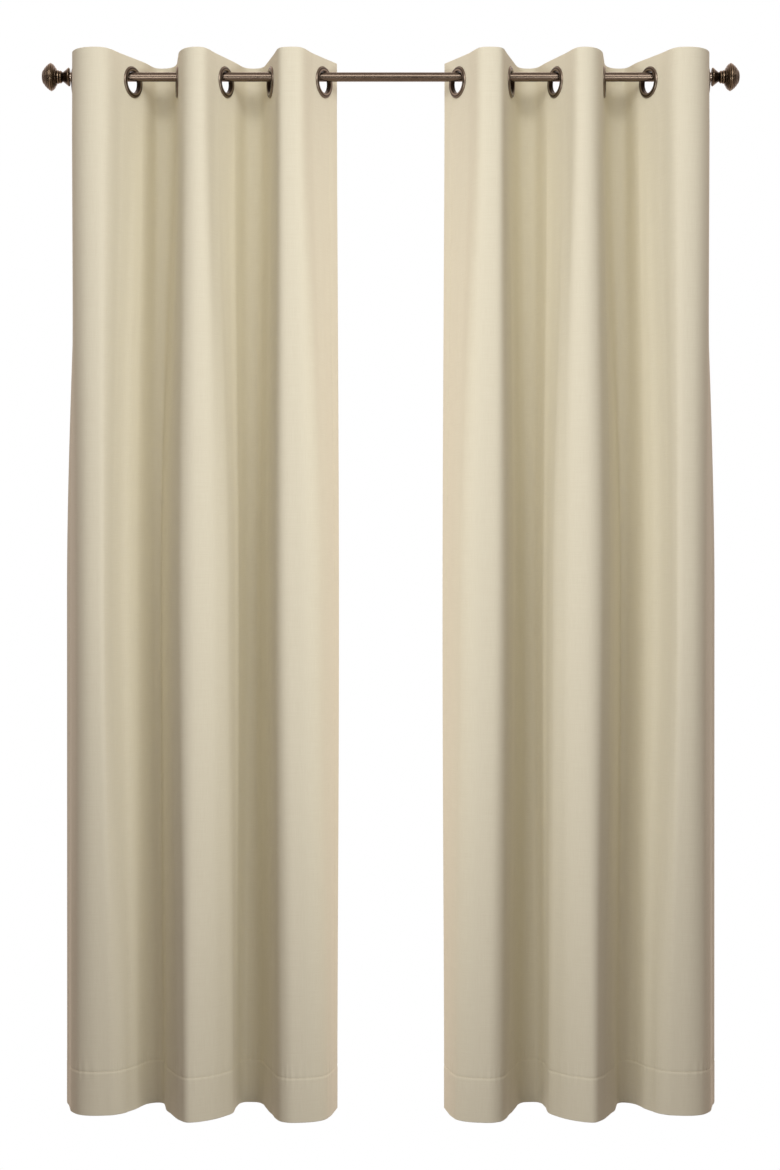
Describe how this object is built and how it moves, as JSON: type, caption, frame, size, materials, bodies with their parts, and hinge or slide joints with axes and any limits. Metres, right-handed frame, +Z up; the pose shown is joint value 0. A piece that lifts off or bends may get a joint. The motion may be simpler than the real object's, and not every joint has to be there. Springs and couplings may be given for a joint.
{
  "type": "window curtains on a rod",
  "caption": "Cream eyelet curtains in deep vertical folds on a dark bronze rod with turned finials and wall brackets.",
  "frame": {"origin": "on the wall plane, midway between the brackets, at the height of the rod's axis", "axes": "+X along the rod to the viewer's right, +Y into the wall, +Z up; the curtains' face looks along -Y"},
  "size_m": [1.212, 0.2039, 1.829],
  "materials": {
    "curtain_cloth": "matt woven",
    "bronze_tube": "satin dark bronze lacquer",
    "bronze_knob": "satin dark bronze lacquer",
    "bronze_bracket": "satin dark bronze lacquer",
    "eyelet_bronze": "antiqued, brushed",
    "plated_steel": "zinc plated"
  },
  "bodies": {
    "rod_set": {"rod_tube": "bronze_tube", "rod_end_plug_left": "plated_steel", "finial_stud_left": "plated_steel", "finial_left": "bronze_knob", "wall_plate_left": "bronze_bracket", "bracket_arm_left": "bronze_bracket", "bracket_arm_screw_left": "plated_steel", "rod_clamp_screw_left": "bronze_bracket", "wall_screw_left_upper": "bronze_bracket", "wall_screw_left_lower": "bronze_bracket", "rod_end_plug_right": "plated_steel", "finial_stud_right": "plated_steel", "finial_right": "bronze_knob", "wall_plate_right": "bronze_bracket", "bracket_arm_right": "bronze_bracket", "bracket_arm_screw_right": "plated_steel", "rod_clamp_screw_right": "bronze_bracket", "wall_screw_right_upper": "bronze_bracket", "wall_screw_right_lower": "bronze_bracket"},
    "left_pleat_1": {"left_pleat_1": "curtain_cloth", "left_eyelet_front_1": "eyelet_bronze", "left_eyelet_back_1": "eyelet_bronze"},
    "left_pleat_2": {"left_pleat_2": "curtain_cloth", "left_eyelet_front_2": "eyelet_bronze", "left_eyelet_back_2": "eyelet_bronze"},
    "left_pleat_3": {"left_pleat_3": "curtain_cloth", "left_eyelet_front_3": "eyelet_bronze", "left_eyelet_back_3": "eyelet_bronze"},
    "left_pleat_4": {"left_pleat_4": "curtain_cloth", "left_eyelet_front_4": "eyelet_bronze", "left_eyelet_back_4": "eyelet_bronze"},
    "left_pleat_5": {"left_pleat_5": "curtain_cloth", "left_eyelet_front_5": "eyelet_bronze", "left_eyelet_back_5": "eyelet_bronze"},
    "left_pleat_6": {"left_pleat_6": "curtain_cloth", "left_eyelet_front_6": "eyelet_bronze", "left_eyelet_back_6": "eyelet_bronze"},
    "right_pleat_1": {"right_pleat_1": "curtain_cloth", "right_eyelet_front_1": "eyelet_bronze", "right_eyelet_back_1": "eyelet_bronze"},
    "right_pleat_2": {"right_pleat_2": "curtain_cloth", "right_eyelet_front_2": "eyelet_bronze", "right_eyelet_back_2": "eyelet_bronze"},
    "right_pleat_3": {"right_pleat_3": "curtain_cloth", "right_eyelet_front_3": "eyelet_bronze", "right_eyelet_back_3": "eyelet_bronze"},
    "right_pleat_4": {"right_pleat_4": "curtain_cloth", "right_eyelet_front_4": "eyelet_bronze", "right_eyelet_back_4": "eyelet_bronze"},
    "right_pleat_5": {"right_pleat_5": "curtain_cloth", "right_eyelet_front_5": "eyelet_bronze", "right_eyelet_back_5": "eyelet_bronze"},
    "right_pleat_6": {"right_pleat_6": "curtain_cloth", "right_eyelet_front_6": "eyelet_bronze", "right_eyelet_back_6": "eyelet_bronze"}
  },
  "joints": [
    {"name": "left_curtain_draw", "type": "hinge", "parent": "rod_set", "child": "left_pleat_1", "pos_m": [-0.548, -0.1, 0], "axis": [0, 0, -1], "range_deg": [-6.7, 14]},
    {"name": "left_fold_1", "type": "hinge", "parent": "left_pleat_1", "child": "left_pleat_2", "pos_m": [-0.4985, -0.175, 0], "axis": [0, 0, -1], "range_deg": [-28.1, 13.5]},
    {"name": "left_fold_2", "type": "hinge", "parent": "left_pleat_2", "child": "left_pleat_3", "pos_m": [-0.409, -0.025, 0], "axis": [0, 0, -1], "range_deg": [-13.5, 28.1]},
    {"name": "left_fold_3", "type": "hinge", "parent": "left_pleat_3", "child": "left_pleat_4", "pos_m": [-0.3282, -0.175, 0], "axis": [0, 0, -1], "range_deg": [-28.1, 13.5]},
    {"name": "left_fold_4", "type": "hinge", "parent": "left_pleat_4", "child": "left_pleat_5", "pos_m": [-0.2474, -0.025, 0], "axis": [0, 0, -1], "range_deg": [-13.5, 28.1]},
    {"name": "left_fold_5", "type": "hinge", "parent": "left_pleat_5", "child": "left_pleat_6", "pos_m": [-0.1624, -0.175, 0], "axis": [0, 0, -1], "range_deg": [-28.1, 13.5]},
    {"name": "right_curtain_draw", "type": "hinge", "parent": "rod_set", "child": "right_pleat_1", "pos_m": [0.548, -0.1, 0], "axis": [0, 0, 1], "range_deg": [-6.7, 14]},
    {"name": "right_fold_1", "type": "hinge", "parent": "right_pleat_1", "child": "right_pleat_2", "pos_m": [0.4985, -0.175, 0], "axis": [0, 0, 1], "range_deg": [-28.1, 13.5]},
    {"name": "right_fold_2", "type": "hinge", "parent": "right_pleat_2", "child": "right_pleat_3", "pos_m": [0.409, -0.025, 0], "axis": [0, 0, 1], "range_deg": [-13.5, 28.1]},
    {"name": "right_fold_3", "type": "hinge", "parent": "right_pleat_3", "child": "right_pleat_4", "pos_m": [0.3282, -0.175, 0], "axis": [0, 0, 1], "range_deg": [-28.1, 13.5]},
    {"name": "right_fold_4", "type": "hinge", "parent": "right_pleat_4", "child": "right_pleat_5", "pos_m": [0.2474, -0.025, 0], "axis": [0, 0, 1], "range_deg": [-13.5, 28.1]},
    {"name": "right_fold_5", "type": "hinge", "parent": "right_pleat_5", "child": "right_pleat_6", "pos_m": [0.1624, -0.175, 0], "axis": [0, 0, 1], "range_deg": [-28.1, 13.5]}
  ],
  "couplings": [
    {"joint": "left_fold_1", "follows": "left_curtain_draw", "ratio": -2},
    {"joint": "left_fold_2", "follows": "left_curtain_draw", "ratio": 2},
    {"joint": "left_fold_3", "follows": "left_curtain_draw", "ratio": -2},
    {"joint": "left_fold_4", "follows": "left_curtain_draw", "ratio": 2},
    {"joint": "left_fold_5", "follows": "left_curtain_draw", "ratio": -2},
    {"joint": "right_fold_1", "follows": "right_curtain_draw", "ratio": -2},
    {"joint": "right_fold_2", "follows": "right_curtain_draw", "ratio": 2},
    {"joint": "right_fold_3", "follows": "right_curtain_draw", "ratio": -2},
    {"joint": "right_fold_4", "follows": "right_curtain_draw", "ratio": 2},
    {"joint": "right_fold_5", "follows": "right_curtain_draw", "ratio": -2}
  ]
}
